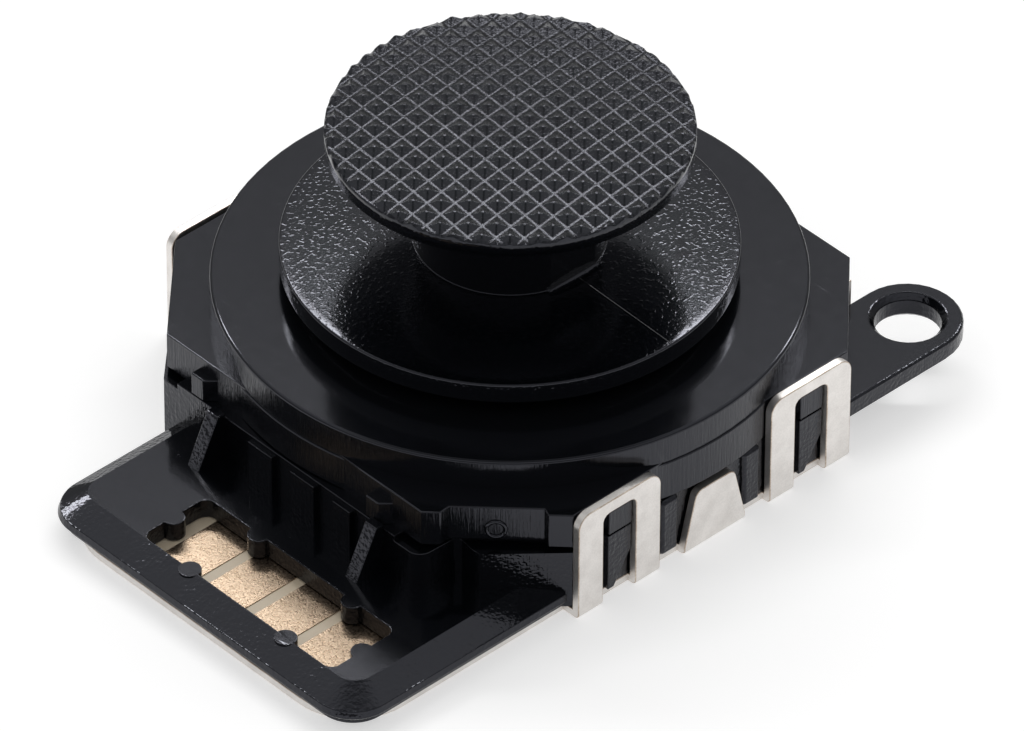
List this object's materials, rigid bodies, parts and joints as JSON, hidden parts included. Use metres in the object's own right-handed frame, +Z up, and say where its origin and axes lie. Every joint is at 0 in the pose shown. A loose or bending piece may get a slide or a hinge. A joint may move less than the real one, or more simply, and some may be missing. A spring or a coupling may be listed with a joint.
{
  "type": "thumbstick cap on a slide joystick module",
  "caption": "Knurled thumb cap on a flat two-axis slide joystick with a black case, steel clip base, screw ear and contact tongue.",
  "frame": {"origin": "on the underside of the steel base, straight under the stick's axis with the stick at rest", "axes": "+X towards the screw ear, -X towards the contact tongue, +Y across the case from the side seen in the picture, +Z up out of the thumb cap"},
  "size_m": [0.0265, 0.0186, 0.0106],
  "materials": {
    "black_case": "satin moulded plastic",
    "black_cap": "finely textured moulded plastic",
    "nickel_steel": "nickel-plated, matt, finely speckled",
    "gold_pad": "pale gold plating, slightly grainy",
    "flex_film": "cream film",
    "carbon_track": "printed carbon, matt",
    "white_nylon": "natural nylon",
    "spring_steel": "drawn wire",
    "spring_bronze": "rolled spring bronze"
  },
  "bodies": {
    "housing": {"base_plate": "nickel_steel", "lower_case": "black_case", "upper_case": "black_case", "flex_circuit": "flex_film", "contact_pad_1": "gold_pad", "contact_pad_2": "gold_pad", "contact_pad_3": "gold_pad", "contact_pad_4": "gold_pad", "x_resistive_track": "carbon_track", "y_resistive_track": "carbon_track", "x_return_spring_left": "spring_steel", "x_return_spring_right": "spring_steel", "y_return_spring_left": "spring_steel", "y_return_spring_right": "spring_steel"},
    "x_carriage": {"x_slider": "white_nylon", "x_wiper": "spring_bronze"},
    "y_carriage": {"y_slider": "white_nylon", "y_wiper": "spring_bronze"},
    "stick_and_cap": {"stick": "black_cap", "thumb_cap": "black_cap"}
  },
  "joints": [
    {"name": "stick_x", "type": "slide", "parent": "housing", "child": "x_carriage", "axis": [1, 0, 0], "range_m": [-0.002, 0.002], "stiffness_N_per_m": 200, "deforming": ["x_return_spring_left", "x_return_spring_right"]},
    {"name": "stick_y", "type": "slide", "parent": "x_carriage", "child": "stick_and_cap", "axis": [0, 1, 0], "range_m": [-0.002, 0.002], "stiffness_N_per_m": 100},
    {"name": "y_slider_slide", "type": "slide", "parent": "housing", "child": "y_carriage", "axis": [0, 1, 0], "range_m": [-0.002, 0.002], "stiffness_N_per_m": 100, "deforming": ["y_return_spring_left", "y_return_spring_right"]}
  ],
  "couplings": [
    {"joint": "y_slider_slide", "follows": "stick_y", "ratio": 1}
  ]
}
